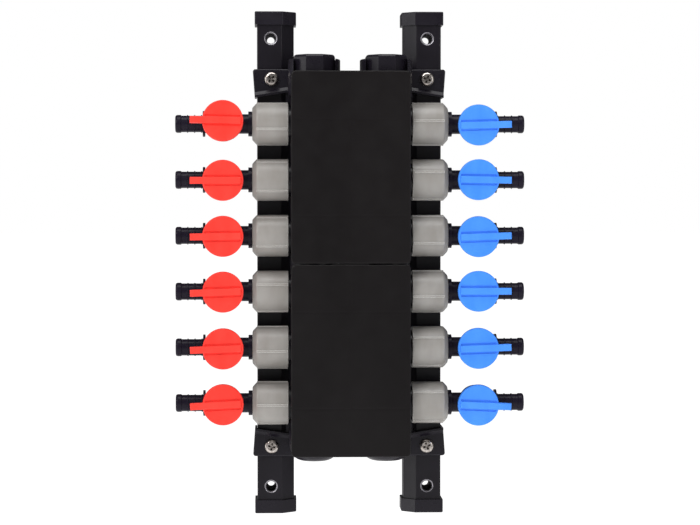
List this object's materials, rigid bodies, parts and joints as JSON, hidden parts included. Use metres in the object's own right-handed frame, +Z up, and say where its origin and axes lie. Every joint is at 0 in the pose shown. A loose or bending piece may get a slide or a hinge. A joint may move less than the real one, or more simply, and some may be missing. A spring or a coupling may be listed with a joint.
{
  "type": "shut-off manifold",
  "caption": "Wall-mounted pipe manifold with hot and cold trunks behind clip-fit covers, lever shut-off valves with ribbed pipe tails on both sides, and two drilled rails.",
  "frame": {"origin": "wall plane, at the middle of the four wall-screw holes", "axes": "+X right towards the cold ports, -Y out from the wall towards the user, +Z up"},
  "size_m": [0.238, 0.0641, 0.3468],
  "materials": {
    "black_plastic": "moulded polyamide, satin",
    "fitting_plastic": "moulded polyamide, satin",
    "cover_plastic": "fine-textured moulded shell",
    "valve_plastic": "moulded glass-filled polymer, semi-gloss",
    "plug_plastic": "machined natural acetal",
    "grey_nut": "moulded warm grey, semi-gloss",
    "red_handle": "moulded red, semi-gloss",
    "blue_handle": "moulded blue, semi-gloss",
    "coated_rail": "black coated extrusion, bare metal at drilled holes",
    "screw_metal": "nickel-plated steel",
    "seal_rubber": "EPDM"
  },
  "bodies": {
    "manifold": {"hot_trunk_upper": "black_plastic", "hot_trunk_lower": "black_plastic", "cold_trunk_upper": "black_plastic", "cold_trunk_lower": "black_plastic", "hot_inlet_collar": "fitting_plastic", "cold_inlet_collar": "fitting_plastic", "inlet_plugs": "fitting_plastic", "trunk_end_caps": "fitting_plastic", "trunk_orings": "seal_rubber", "hot_union_nuts": "grey_nut", "cold_union_nuts": "grey_nut", "union_gaskets": "seal_rubber", "valve_bonnets": "valve_plastic", "stem_orings": "seal_rubber", "hot_valve_body_1": "valve_plastic", "hot_valve_body_2": "valve_plastic", "hot_valve_body_3": "valve_plastic", "hot_valve_body_4": "valve_plastic", "hot_valve_body_5": "valve_plastic", "hot_valve_body_6": "valve_plastic", "cold_valve_body_1": "valve_plastic", "cold_valve_body_2": "valve_plastic", "cold_valve_body_3": "valve_plastic", "cold_valve_body_4": "valve_plastic", "cold_valve_body_5": "valve_plastic", "cold_valve_body_6": "valve_plastic", "hot_side_rail": "coated_rail", "cold_side_rail": "coated_rail", "rail_end_caps": "fitting_plastic", "hot_upper_bracket": "fitting_plastic", "hot_lower_bracket": "fitting_plastic", "cold_upper_bracket": "fitting_plastic", "cold_lower_bracket": "fitting_plastic", "bracket_screws": "screw_metal", "upper_cover": "cover_plastic", "lower_cover": "cover_plastic"},
    "hot_valve_1_handle": {"hot_handle_1": "red_handle", "hot_valve_plug_1": "plug_plastic"},
    "hot_valve_2_handle": {"hot_handle_2": "red_handle", "hot_valve_plug_2": "plug_plastic"},
    "hot_valve_3_handle": {"hot_handle_3": "red_handle", "hot_valve_plug_3": "plug_plastic"},
    "hot_valve_4_handle": {"hot_handle_4": "red_handle", "hot_valve_plug_4": "plug_plastic"},
    "hot_valve_5_handle": {"hot_handle_5": "red_handle", "hot_valve_plug_5": "plug_plastic"},
    "hot_valve_6_handle": {"hot_handle_6": "red_handle", "hot_valve_plug_6": "plug_plastic"},
    "cold_valve_1_handle": {"cold_handle_1": "blue_handle", "cold_valve_plug_1": "plug_plastic"},
    "cold_valve_2_handle": {"cold_handle_2": "blue_handle", "cold_valve_plug_2": "plug_plastic"},
    "cold_valve_3_handle": {"cold_handle_3": "blue_handle", "cold_valve_plug_3": "plug_plastic"},
    "cold_valve_4_handle": {"cold_handle_4": "blue_handle", "cold_valve_plug_4": "plug_plastic"},
    "cold_valve_5_handle": {"cold_handle_5": "blue_handle", "cold_valve_plug_5": "plug_plastic"},
    "cold_valve_6_handle": {"cold_handle_6": "blue_handle", "cold_valve_plug_6": "plug_plastic"}
  },
  "joints": [
    {"name": "hot_valve_1_turn", "type": "hinge", "parent": "manifold", "child": "hot_valve_1_handle", "pos_m": [-0.0865, -0.042, 0.09525], "axis": [0, 0.9962, -0.0872], "range_deg": [-4.5, 88.5]},
    {"name": "hot_valve_2_turn", "type": "hinge", "parent": "manifold", "child": "hot_valve_2_handle", "pos_m": [-0.0865, -0.042, 0.05715], "axis": [0, 0.9997, 0.0262], "range_deg": [-3, 90]},
    {"name": "hot_valve_3_turn", "type": "hinge", "parent": "manifold", "child": "hot_valve_3_handle", "pos_m": [-0.0865, -0.042, 0.01905], "axis": [0, 1, 0.0087], "range_deg": [-2, 91]},
    {"name": "hot_valve_4_turn", "type": "hinge", "parent": "manifold", "child": "hot_valve_4_handle", "pos_m": [-0.0865, -0.042, -0.01905], "axis": [0, 0.9998, -0.0175], "range_deg": [-1, 92]},
    {"name": "hot_valve_5_turn", "type": "hinge", "parent": "manifold", "child": "hot_valve_5_handle", "pos_m": [-0.0865, -0.042, -0.05715], "axis": [0, 1, 0], "range_deg": [-1, 92]},
    {"name": "hot_valve_6_turn", "type": "hinge", "parent": "manifold", "child": "hot_valve_6_handle", "pos_m": [-0.0865, -0.042, -0.09525], "axis": [0, 0.9998, -0.0175], "range_deg": [0, 93]},
    {"name": "cold_valve_1_turn", "type": "hinge", "parent": "manifold", "child": "cold_valve_1_handle", "pos_m": [0.0865, -0.042, 0.09525], "axis": [0, 0.9981, 0.061], "range_deg": [-1.5, 91.5]},
    {"name": "cold_valve_2_turn", "type": "hinge", "parent": "manifold", "child": "cold_valve_2_handle", "pos_m": [0.0865, -0.042, 0.05715], "axis": [0, 1, 0], "range_deg": [-4, 89]},
    {"name": "cold_valve_3_turn", "type": "hinge", "parent": "manifold", "child": "cold_valve_3_handle", "pos_m": [0.0865, -0.042, 0.01905], "axis": [0, 0.9997, 0.0262], "range_deg": [-1, 92]},
    {"name": "cold_valve_4_turn", "type": "hinge", "parent": "manifold", "child": "cold_valve_4_handle", "pos_m": [0.0865, -0.042, -0.01905], "axis": [0, 0.9994, -0.0349], "range_deg": [-3, 90]},
    {"name": "cold_valve_5_turn", "type": "hinge", "parent": "manifold", "child": "cold_valve_5_handle", "pos_m": [0.0865, -0.042, -0.05715], "axis": [0, 1, 0], "range_deg": [-1, 92]},
    {"name": "cold_valve_6_turn", "type": "hinge", "parent": "manifold", "child": "cold_valve_6_handle", "pos_m": [0.0865, -0.042, -0.09525], "axis": [0, 0.9997, 0.0262], "range_deg": [-5.5, 87.5]}
  ]
}
